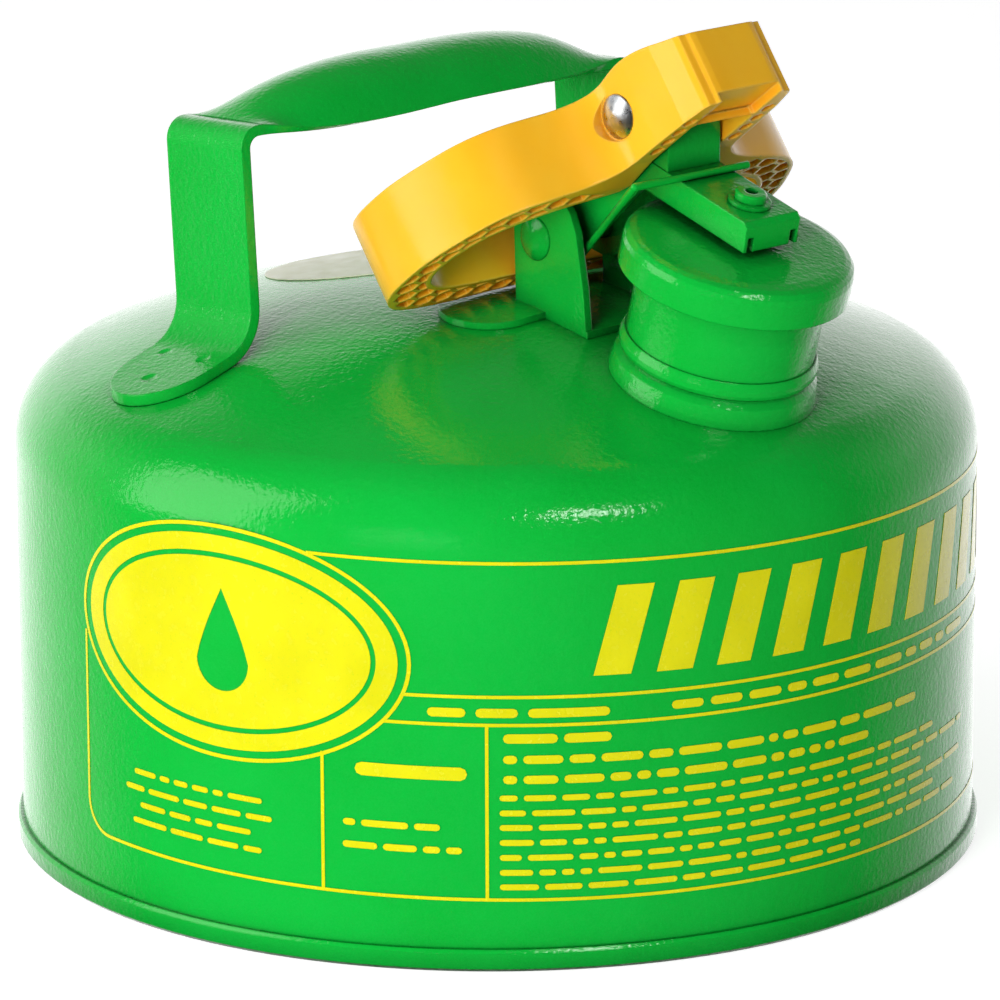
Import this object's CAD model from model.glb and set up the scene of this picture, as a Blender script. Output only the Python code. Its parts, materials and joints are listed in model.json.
"""A round green enamelled can with yellow plastic parts and a printed panel on its wall.

The can stands on z = 0 with its axis on Z. The CAD pieces get procedural finishes, and
the print is added as thin films of yellow ink. Units are metres, except the print's, in mm.
"""
import bmesh
import bpy
import json
import math
import random
from mathutils import Matrix, Vector
from mathutils.geometry import tessellate_polygon


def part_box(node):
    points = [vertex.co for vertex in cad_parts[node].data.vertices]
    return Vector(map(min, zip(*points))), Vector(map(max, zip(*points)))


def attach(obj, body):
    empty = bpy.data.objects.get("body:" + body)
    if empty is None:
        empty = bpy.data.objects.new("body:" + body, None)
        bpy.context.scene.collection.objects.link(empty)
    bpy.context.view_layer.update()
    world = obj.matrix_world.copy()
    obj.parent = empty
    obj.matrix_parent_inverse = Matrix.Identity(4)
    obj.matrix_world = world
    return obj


MM = 0.001

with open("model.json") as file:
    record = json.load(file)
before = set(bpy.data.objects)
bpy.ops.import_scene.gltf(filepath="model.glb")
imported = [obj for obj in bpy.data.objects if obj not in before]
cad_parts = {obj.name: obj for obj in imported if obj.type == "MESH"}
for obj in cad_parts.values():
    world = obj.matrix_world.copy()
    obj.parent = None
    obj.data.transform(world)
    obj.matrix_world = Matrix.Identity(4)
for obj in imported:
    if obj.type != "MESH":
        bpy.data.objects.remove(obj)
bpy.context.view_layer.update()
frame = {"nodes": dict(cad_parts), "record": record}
scene = bpy.context.scene
scene.view_settings.view_transform = "Standard"


# ------------------------------------------------------------------ shader graphs
def feed(socket, value):
    """Link an output to the socket, or set a constant; RGB colours gain an alpha of 1."""
    if isinstance(value, bpy.types.NodeSocket):
        socket.id_data.links.new(value, socket)
    elif socket.type == "RGBA" and len(value) == 3:
        socket.default_value = (*value, 1.0)
    else:
        socket.default_value = value


class Graph:
    """The node tree of a material or a world, emptied and ready to build."""

    def __init__(self, owner):
        owner.use_nodes = True
        self.nodes = owner.node_tree.nodes
        self.nodes.clear()
        self.coords = self.add("TexCoord")

    def add(self, kind, inputs=None, **settings):
        """Add a node; inputs maps socket names or numbers to values or outputs."""
        node = self.nodes.new("ShaderNode" + kind)
        for key, value in settings.items():
            setattr(node, key, value)
        for key, value in (inputs or {}).items():
            feed(node.inputs[key], value)
        return node

    def remap(self, value, to=(0.0, 1.0), source=(0.3, 0.7)):
        """Carry the source range onto the to range, clamped."""
        return self.add("MapRange", {
            "Value": value, "From Min": source[0], "From Max": source[1],
            "To Min": to[0], "To Max": to[1]}).outputs["Result"]

    def multiply(self, first, second):
        return self.add("Math", {0: first, 1: second}, operation="MULTIPLY").outputs[0]

    def dot(self, first, second):
        node = self.add("VectorMath", {0: first, 1: second}, operation="DOT_PRODUCT")
        return node.outputs["Value"]


class Finish(Graph):
    """A material graph, closed by surface()."""

    def __init__(self, name):
        self.material = bpy.data.materials.new(name)
        super().__init__(self.material)

    def noise(self, scale, detail=3.0, rough=0.5, stretch=None):
        where = self.coords.outputs["Object"]
        if stretch:
            where = self.add("Mapping", {"Vector": where, "Scale": stretch}).outputs["Vector"]
        return self.add("TexNoise", {
            "Vector": where, "Scale": scale, "Detail": detail,
            "Roughness": rough}).outputs["Fac"]

    def mix(self, factor, base, other):
        return self.add("Mix", {0: factor, 6: base, 7: other}, data_type="RGBA").outputs[2]

    def bump(self, height, strength, distance, normal=None):
        inputs = {"Height": height, "Strength": strength, "Distance": distance}
        if normal is not None:
            inputs["Normal"] = normal
        return self.add("Bump", inputs).outputs["Normal"]

    def soft_edges(self, radius):
        return self.add("Bevel", {"Radius": radius}, samples=4).outputs["Normal"]

    def openness(self, distance):
        """1 in the open, falling towards 0 in crevices."""
        node = self.add("AmbientOcclusion", {"Distance": distance}, samples=4)
        return node.outputs["AO"]

    def edge_wear(self, radius):
        """1 on exposed edges, 0 on open faces."""
        true_normal = self.add("NewGeometry").outputs["Normal"]
        agreement = self.dot(self.soft_edges(radius), true_normal)
        return self.remap(agreement, to=(1.0, 0.0), source=(0.75, 0.98))

    def surface(self, **inputs):
        """Close the graph; underscores in the names stand for spaces."""
        named = {key.replace("_", " "): value for key, value in inputs.items()}
        shader = self.add("BsdfPrincipled", named)
        self.add("OutputMaterial", {"Surface": shader.outputs["BSDF"]})
        return self.material


# ------------------------------------------------------------------ finishes
def green_paint():
    g = Finish("green_enamel")
    colour = g.mix(g.remap(g.noise(scale=22.0)), (0.002, 0.400, 0.030), (0.004, 0.455, 0.043))
    flecks = g.remap(g.noise(scale=2600.0, detail=2.0), to=(0.0, 0.16))
    colour = g.mix(flecks, colour, (0.02, 0.52, 0.09))
    # dark seams, then deep shade between close parts
    seams = g.remap(g.openness(distance=0.006), to=(0.75, 0.0), source=(0.15, 0.95))
    colour = g.mix(seams, colour, (0.0, 0.045, 0.006))
    shade = g.remap(g.openness(distance=0.032), to=(0.92, 0.0), source=(0.08, 0.48))
    colour = g.mix(shade, colour, (0.0, 0.018, 0.003))
    # dark specks along the edges
    specks = g.remap(g.noise(scale=900.0, detail=5.0, rough=0.7), source=(0.52, 0.72))
    worn = g.multiply(g.edge_wear(radius=0.0007), specks)
    colour = g.mix(worn, colour, (0.0, 0.16, 0.02))
    # slight waviness of the drawn sheet, then orange peel
    normal = g.soft_edges(radius=0.0006)
    normal = g.bump(g.noise(scale=55.0, detail=2.0), 
                    strength=0.16, distance=0.0012, normal=normal)
    normal = g.bump(g.noise(scale=760.0, detail=2.0),
                    strength=0.50, distance=0.00026, normal=normal)
    fine = g.remap(g.noise(scale=420.0, detail=4.0))
    roughness = g.remap(fine, to=(0.09, 0.17), source=(0.0, 1.0))
    return g.surface(Base_Color=colour, Roughness=roughness, IOR=1.5, Normal=normal)


def yellow_plastic():
    g = Finish("moulded_yellow")
    flow = g.remap(g.noise(scale=26.0, rough=0.55, stretch=(1.0, 2.2, 1.0)))
    colour = g.mix(flow, (0.92, 0.455, 0.014), (0.94, 0.52, 0.028))
    crevices = g.remap(g.openness(distance=0.009), to=(0.85, 0.0), source=(0.1, 0.9))
    colour = g.mix(crevices, colour, (0.86, 0.27, 0.004))
    rubbed = g.edge_wear(radius=0.0009)
    colour = g.mix(rubbed, colour, (0.98, 0.62, 0.09))
    # a little green overspray and grime along the rims
    grime = g.remap(g.noise(scale=310.0, detail=5.0, rough=0.65), source=(0.58, 0.70))
    colour = g.mix(g.multiply(rubbed, grime), colour, (0.36, 0.38, 0.02))
    # moulding waves, then fine grain
    normal = g.soft_edges(radius=0.0008)
    normal = g.bump(g.noise(scale=70.0, detail=2.0),
                    strength=0.10, distance=0.0010, normal=normal)
    normal = g.bump(g.noise(scale=2400.0), strength=0.12, distance=0.00010, normal=normal)
    return g.surface(
        Base_Color=colour, Roughness=g.remap(g.noise(scale=160.0, detail=4.0), to=(0.15, 0.25)),
        IOR=1.49, Subsurface_Weight=0.10, Subsurface_Scale=0.003,
        Subsurface_Radius=(1.0, 0.6, 0.15), Normal=normal)


def zinc():
    g = Finish("zinc_plate")
    cells = g.add("TexVoronoi", {"Vector": g.coords.outputs["Object"], "Scale": 620.0})
    spangle = g.remap(cells.outputs["Distance"], source=(0.0, 0.8))
    colour = g.mix(spangle, (0.80, 0.84, 0.88), (0.47, 0.50, 0.54))
    tint = g.remap(g.noise(scale=240.0, detail=4.0), to=(0.0, 0.35))
    colour = g.mix(tint, colour, (0.76, 0.72, 0.60))
    normal = g.bump(g.noise(scale=900.0), strength=0.25, distance=0.00015,
                    normal=g.soft_edges(radius=0.0004))
    roughness = g.remap(g.noise(scale=500.0), to=(0.18, 0.42))
    return g.surface(Base_Color=colour, Metallic=1.0, Roughness=roughness, Normal=normal)


def bare_steel():
    g = Finish("plain_steel")
    brushed = g.noise(scale=300.0, detail=4.0, rough=0.6, stretch=(0.25, 0.25, 6.0))
    colour = g.mix(g.remap(brushed), (0.42, 0.42, 0.43), (0.60, 0.60, 0.61))
    stain = g.remap(g.noise(scale=90.0, detail=4.0), to=(0.0, 0.30))
    colour = g.mix(stain, colour, (0.33, 0.26, 0.19))
    normal = g.bump(brushed, strength=0.18, distance=0.00012,
                    normal=g.soft_edges(radius=0.0003))
    roughness = g.remap(brushed, to=(0.28, 0.46))
    return g.surface(Base_Color=colour, Metallic=1.0, Roughness=roughness, Normal=normal)


def seal_rubber():
    g = Finish("black_seal")
    mottle = g.remap(g.noise(scale=380.0, detail=4.0))
    colour = g.mix(mottle, (0.016, 0.016, 0.017), (0.040, 0.040, 0.041))
    normal = g.bump(g.noise(scale=1900.0, detail=4.0), strength=0.35, distance=0.00012,
                    normal=g.soft_edges(radius=0.0003))
    roughness = g.remap(g.noise(scale=220.0), to=(0.55, 0.78))
    return g.surface(Base_Color=colour, Roughness=roughness, Normal=normal)


def pale_label():
    g = Finish("blank_label_film")
    grain = g.remap(g.noise(scale=1500.0, detail=5.0, rough=0.6))
    colour = g.mix(grain, (0.93, 0.93, 0.66), (0.97, 0.97, 0.74))
    blotches = g.remap(g.noise(scale=45.0), to=(0.0, 0.35))
    colour = g.mix(blotches, colour, (0.86, 0.87, 0.60))
    normal = g.bump(g.noise(scale=1100.0, detail=4.0), strength=0.22, distance=0.00010,
                    normal=g.soft_edges(radius=0.0002))
    roughness = g.remap(g.noise(scale=300.0), to=(0.30, 0.48))
    return g.surface(Base_Color=colour, Roughness=roughness, Normal=normal)


def yellow_ink():
    g = Finish("screened_yellow_ink")
    colour = g.mix(g.remap(g.noise(scale=60.0)), (0.70, 0.67, 0.0), (0.79, 0.75, 0.003))
    # pinholes where the screen missed
    pinholes = g.remap(g.noise(scale=1900.0, rough=0.6), to=(0.0, 0.5), source=(0.60, 0.78))
    colour = g.mix(pinholes, colour, (0.33, 0.56, 0.01))
    normal = g.bump(g.noise(scale=820.0, detail=2.0, rough=0.45),
                    strength=0.20, distance=0.00018)
    roughness = g.remap(g.noise(scale=500.0), to=(0.18, 0.30))
    return g.surface(Base_Color=colour, Roughness=roughness, Coat_Weight=0.3,
                     Coat_Roughness=0.10, Normal=normal)


# each function is named after the material slot it fills
finishes = {make.__name__: make() for make in (
    green_paint, yellow_plastic, zinc, bare_steel, seal_rubber, pale_label)}
slots = {part["node"]: part["material_slot"] for part in frame["record"]["subparts"]}
for node_name, piece in frame["nodes"].items():
    piece.data.materials.clear()
    piece.data.materials.append(finishes[slots[node_name]])
ink = yellow_ink()

# ------------------------------------------------------------------ printed panel
# Laid out flat in mm: u runs round the wall from +X towards +Y, z runs up.
WALL_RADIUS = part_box("body_shell")[1].x / MM
LEAN = -0.0119           # rise per mm of u: the print is a little out of level
LIFT = 0.03              # from the wall to the underside of the ink
INK_THICKNESS = 0.07
FACET = 2.0              # spacing of the cuts that let a film follow the wall

PANEL_LEFT, PANEL_RIGHT = -191.5, 161.0
PANEL_BOTTOM, PANEL_TOP = 15.8, 93.9
HEADING_BOTTOM, TEXT_TOP = 63.1, 56.6        # two rules below the heading
DIVIDERS = (-121.0, -83.4)
DIVIDER_TOPS = (48.2, None)                  # None: up to the rule at TEXT_TOP
HALF_RULE = 0.38                             # half the width of a rule
OVERLAP = 0.05                               # of a divider into the rule it meets
LEFT_CORNER, RIGHT_CORNER = 8, 6             # corner radii

OVAL_U, OVAL_Z = -146.2, 70.0
OVAL_HALF_WIDTH, OVAL_HALF_HEIGHT = 46.0, 27.3


def on_wall(u, z, height):
    angle = u / WALL_RADIUS
    radius = WALL_RADIUS + LIFT + height
    return Vector((radius * math.cos(angle), radius * math.sin(angle), z + LEAN * u)) * MM


def fill_shape(bm, loops):
    """Fill one shape, given as an outline and then any holes."""
    verts = [bm.verts.new((u, z, 0.0)) for loop in loops for u, z in loop]
    for corners in tessellate_polygon([[Vector((u, z, 0.0)) for u, z in loop] for loop in loops]):
        if len(set(corners)) == 3:
            # the tessellation may give the same triangle twice
            try:
                bm.faces.new([verts[i] for i in corners])
            except ValueError:
                pass


def print_piece(name, shapes):
    """A thin closed film of ink wrapped round the wall."""
    bm = bmesh.new()
    for loops in shapes:
        fill_shape(bm, loops)
    across = [vert.co.x for vert in bm.verts]
    cut = math.ceil(min(across) / FACET) * FACET
    while cut < max(across):
        bmesh.ops.bisect_plane(bm, geom=bm.verts[:] + bm.edges[:] + bm.faces[:], dist=1e-5,
                               plane_co=(cut, 0, 0), plane_no=(1, 0, 0))
        cut += FACET
    bmesh.ops.remove_doubles(bm, verts=bm.verts[:], dist=1e-5)
    bmesh.ops.dissolve_degenerate(bm, edges=bm.edges[:], dist=1e-5)
    bm.normal_update()
    for face in bm.faces:
        if face.normal.z < 0:
            face.normal_flip()
    top = bmesh.ops.extrude_face_region(bm, geom=bm.faces[:], use_keep_orig=True)
    for item in top["geom"]:
        if isinstance(item, bmesh.types.BMVert):
            item.co.z = INK_THICKNESS
    bmesh.ops.recalc_face_normals(bm, faces=bm.faces[:])
    for vert in bm.verts:
        vert.co = on_wall(*vert.co)
    mesh = bpy.data.meshes.new(name)
    bm.to_mesh(mesh)
    bm.free()
    mesh.materials.append(ink)
    film = bpy.data.objects.new(name, mesh)
    scene.collection.objects.link(film)
    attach(film, "can")


def bar(left, right, bottom, top, slant=0.0):
    return [[(left, bottom), (right, bottom), (right + slant, top), (left + slant, top)]]


def level_rule(left, right, z):
    return bar(left, right, z - HALF_RULE, z + HALF_RULE)


def upright_rule(u, bottom, top):
    return bar(u - HALF_RULE, u + HALF_RULE, bottom, top)


def corner_rule(u, z, radius, start, end, steps=10):
    """A rule round a corner centred on (u, z), between two angles in degrees."""
    angles = [math.radians(start + (end - start) * i / steps) for i in range(steps + 1)]

    def arc(r, along):
        return [(u + r * math.cos(a), z + r * math.sin(a)) for a in along]
    return [arc(radius + HALF_RULE, angles) + arc(radius - HALF_RULE, reversed(angles))]


def oval(inset_u=0.0, inset_z=0.0, steps=96):
    half_width, half_height = OVAL_HALF_WIDTH - inset_u, OVAL_HALF_HEIGHT - inset_z
    return [(OVAL_U + half_width * math.cos(2 * math.pi * i / steps),
             OVAL_Z + half_height * math.sin(2 * math.pi * i / steps)) for i in range(steps)]


def from_oval(z, right):
    """A level rule that starts just inside the oval's right edge."""
    reach = math.sqrt(1.0 - ((z - OVAL_Z) / OVAL_HALF_HEIGHT) ** 2)
    return level_rule(OVAL_U + OVAL_HALF_WIDTH * reach - 0.4, right, z)


def panel_rules():
    right_bend = PANEL_RIGHT - RIGHT_CORNER
    left_bend = PANEL_LEFT + LEFT_CORNER
    low_left, low_right = PANEL_BOTTOM + LEFT_CORNER, PANEL_BOTTOM + RIGHT_CORNER
    high_right = PANEL_TOP - RIGHT_CORNER
    rules = [
        from_oval(PANEL_TOP, right_bend),
        from_oval(HEADING_BOTTOM, PANEL_RIGHT - HALF_RULE),
        from_oval(TEXT_TOP, PANEL_RIGHT - HALF_RULE),
        level_rule(PANEL_LEFT + 7.6, right_bend, PANEL_BOTTOM),
    ]
    for u, top in zip(DIVIDERS, DIVIDER_TOPS):
        rules.append(upright_rule(u, PANEL_BOTTOM + HALF_RULE - OVERLAP,
                                  top or TEXT_TOP - HALF_RULE + OVERLAP))
    return rules + [
        upright_rule(PANEL_LEFT, low_left, 63.5),
        upright_rule(PANEL_RIGHT, low_right, high_right),
        corner_rule(left_bend, low_left, LEFT_CORNER, 180, 270),
        corner_rule(right_bend, low_right, RIGHT_CORNER, 270, 360),
        corner_rule(right_bend, high_right, RIGHT_CORNER, 0, 90),
    ]


def drop(u, z, radius, height, steps=40):
    """A liquid drop: round below, drawn up to a point."""
    points = []
    for i in range(steps):
        angle = -math.pi / 2 + 2 * math.pi * i / steps
        x, y = radius * math.cos(angle), radius * math.sin(angle)
        if y > 0:
            x *= (1 - y / radius) ** 0.55 * 0.9 + 0.1 * (1 - y / radius)
            y = y / radius * height
        points.append((u + x, z + y))
    return points


def heading_blocks(width=8.6, pitch=14.6, slant=5.5):
    """A broad band of slanted blocks in place of the heading."""
    blocks = []
    u = -59.5
    while u < 140:
        blocks.append(bar(u, u + width, HEADING_BOTTOM + 4.6, PANEL_TOP - 5.6, slant))
        u += pitch
    return blocks


def dash(left, right, z, thickness, steps=4):
    """A bar with round ends, centred on height z."""
    r = thickness / 2
    turns = [math.pi * i / steps for i in range(steps + 1)]
    return [[(left + r - r * math.sin(a), z + r * math.cos(a)) for a in turns]
            + [(right - r + r * math.sin(a), z - r * math.cos(a)) for a in turns]]


# Rows of fine print: nominal height, start, end, letter height,
# then, where they differ from the usual, shortest dash, longest dash and gap.
PRINT_ROWS = [
    (59.5, -96.7, -55.7, 3.4, 5, 13, 2.2),
    (59.0, -41.3, 61.5, 3.2, 4, 12, 1.8),
    (45.0, -113.3, -87.8, 5.0, 12, 18, 2.6),
    (32.0, -116.2, -93.9, 2.5), (26.6, -116.3, -89.0, 2.5),
    (34.6, -173.5, -136.1, 2.1), (30.6, -176.5, -133.6, 2.1),
    (26.6, -171.7, -139.1, 2.1), (22.6, -174.2, -136.3, 2.1),
    (53.2, -79.8, -55.3, 3.5, 10, 20),
    (48.2, -79.8, 33.4, 3.1), (43.4, -79.8, 14.2, 3.1),
    (39.0, -80.6, 42.4, 2.2), (35.4, -80.6, 62.6, 2.2), (31.9, -80.6, 36.2, 2.2),
    (28.3, -80.6, 61.0, 2.2), (24.7, -80.6, 42.9, 2.2), (21.1, -80.6, 56.2, 2.2),
    (17.6, -80.6, 11.7, 2.2),
]
ROW_RAISE, ROW_SQUEEZE = 2.6, 0.026      # nominal heights are closed up, then raised
DASH_FILL = 0.62                         # dash thickness over letter height
rng = random.Random(11)


def print_row(height, start, end, letter, shortest=2.6, longest=11.0, gap=1.3):
    """Plain dashes of random length in place of one row of text."""
    # taking off the lean puts the row's start at its own height
    z = height + ROW_RAISE - ROW_SQUEEZE * height - LEAN * start
    dashes = []
    u = start
    while u < end - 1.0:
        width = min(shortest + (longest - shortest) * rng.random(), end - u)
        if end - (u + width) < shortest + gap:
            width = end - u
        dashes.append(dash(u, u + width, z, letter * DASH_FILL))
        u += width + gap
    return dashes


print_piece("panel_rules", panel_rules())
print_piece("oval_outline", [[oval(), oval(0.9, 0.9)]])
print_piece("oval_field", [
    [oval(3.0, 2.6), oval(8.0, 6.6)],
    [oval(9.2, 7.8), drop(OVAL_U, OVAL_Z - 4.4, radius=7.0, height=17.0)]])
print_piece("heading_blocks", heading_blocks())
print_piece("fine_print_dashes", [shape for row in PRINT_ROWS for shape in print_row(*row)])

# ------------------------------------------------------------------ floor, light, camera
# The camera stands off +X and -Y: azimuth is measured from -Y towards +X.
AZIMUTH = math.radians(48.94174699)
ELEVATION = math.radians(15.36571086)
ROLL = math.radians(-0.22406427)
DISTANCE = 1.719865525
TARGET = Vector((0.000524305, 0.000603144, 0.07839974))
LENS, SENSOR = 262.056347028, 36.0       # mm
CAN_MIDDLE = Vector((0, 0, 0.09))

to_camera = Vector((math.sin(AZIMUTH) * math.cos(ELEVATION),
                    -math.cos(AZIMUTH) * math.cos(ELEVATION), math.sin(ELEVATION)))
right = Vector((math.cos(AZIMUTH), math.sin(AZIMUTH), 0.0))


def add_floor():
    bpy.ops.mesh.primitive_plane_add(size=14.0, location=(0, 0, -0.0002))
    floor = bpy.context.object
    floor.name = "floor"
    g = Finish("pale_floor")
    colour = g.mix(g.noise(scale=3.0, detail=2.0), (0.88, 0.88, 0.88), (0.91, 0.91, 0.91))
    # the glow is strong for the camera and faint for everything else
    glow = g.remap(g.add("LightPath").outputs["Is Camera Ray"],
                   to=(0.10, 0.76), source=(0.0, 1.0))
    floor.data.materials.append(g.surface(
        Base_Color=colour, Roughness=0.9, Emission_Color=(1.0, 1.0, 1.0),
        Emission_Strength=glow))
    floor.visible_glossy = False


def add_world():
    """Gloss sees white behind and beside the can and a dark room in front.

    The camera sees plain white, and everything else gets even light.
    """
    world = bpy.data.worlds.new("studio")
    scene.world = world
    g = Graph(world)
    way = g.coords.outputs["Generated"]
    facing = g.dot(way, (math.sin(AZIMUTH), -math.cos(AZIMUTH), 0.0))
    behind = g.remap(facing, to=(1.55, 0.03), source=(-0.85, -0.10))
    height = g.add("SeparateXYZ", {0: way}).outputs["Z"]
    low = g.remap(height, to=(1.0, 0.10), source=(0.30, 0.65))
    backdrop = g.multiply(behind, low)
    rays = g.add("LightPath").outputs
    unseen = g.remap(rays["Is Glossy Ray"], to=(0.11, backdrop), source=(0.0, 1.0))
    strength = g.remap(rays["Is Camera Ray"], to=(unseen, 1.0), source=(0.0, 1.0))
    background = g.add("Background", {"Color": (1.0, 1.0, 1.0), "Strength": strength})
    g.add("OutputWorld", {"Surface": background.outputs[0]})


def add_camera():
    up = to_camera.cross(right)
    side = right * math.cos(ROLL) + up * math.sin(ROLL)
    top = up * math.cos(ROLL) - right * math.sin(ROLL)
    place = TARGET + to_camera * DISTANCE
    data = bpy.data.cameras.new("view")
    data.sensor_width = SENSOR
    data.lens = LENS
    data.clip_start, data.clip_end = 0.05, 60.0
    camera = bpy.data.objects.new("view", data)
    rows = [row for row in zip(side, top, to_camera, place)]
    camera.matrix_world = Matrix((*rows, (0, 0, 0, 1)))
    scene.collection.objects.link(camera)
    scene.camera = camera


# name, (right, towards the camera, up) from the can's middle, width, height, watts,
# whether it shows in gloss
LIGHTS = [
    ("overhead", (-0.35, 0.10, 1.35), 0.90, 0.80, 1.7, False),
    ("key", (-0.75, 1.95, 0.35), 0.80, 0.70, 32.0, False),
    ("left_bank", (-1.30, 0.35, 0.55), 1.00, 1.30, 9.0, True),
    ("window", (0.50, 1.15, 0.98), 0.42, 0.13, 3.2, True),
]


def add_light(name, offset, width, height, power, in_gloss):
    x, y, z = offset
    forward = Vector((to_camera.x, to_camera.y, 0)).normalized()
    place = CAN_MIDDLE + right * x + forward * y + Vector((0, 0, z))
    data = bpy.data.lights.new(name, "AREA")
    data.shape = "RECTANGLE"
    data.size, data.size_y = width, height
    data.energy = power
    lamp = bpy.data.objects.new(name, data)
    lamp.location = place
    lamp.rotation_mode = "QUATERNION"
    lamp.rotation_quaternion = (CAN_MIDDLE - place).to_track_quat("-Z", "Y")
    lamp.visible_glossy = in_gloss
    scene.collection.objects.link(lamp)


add_floor()
add_world()
add_camera()
for light in LIGHTS:
    add_light(*light)
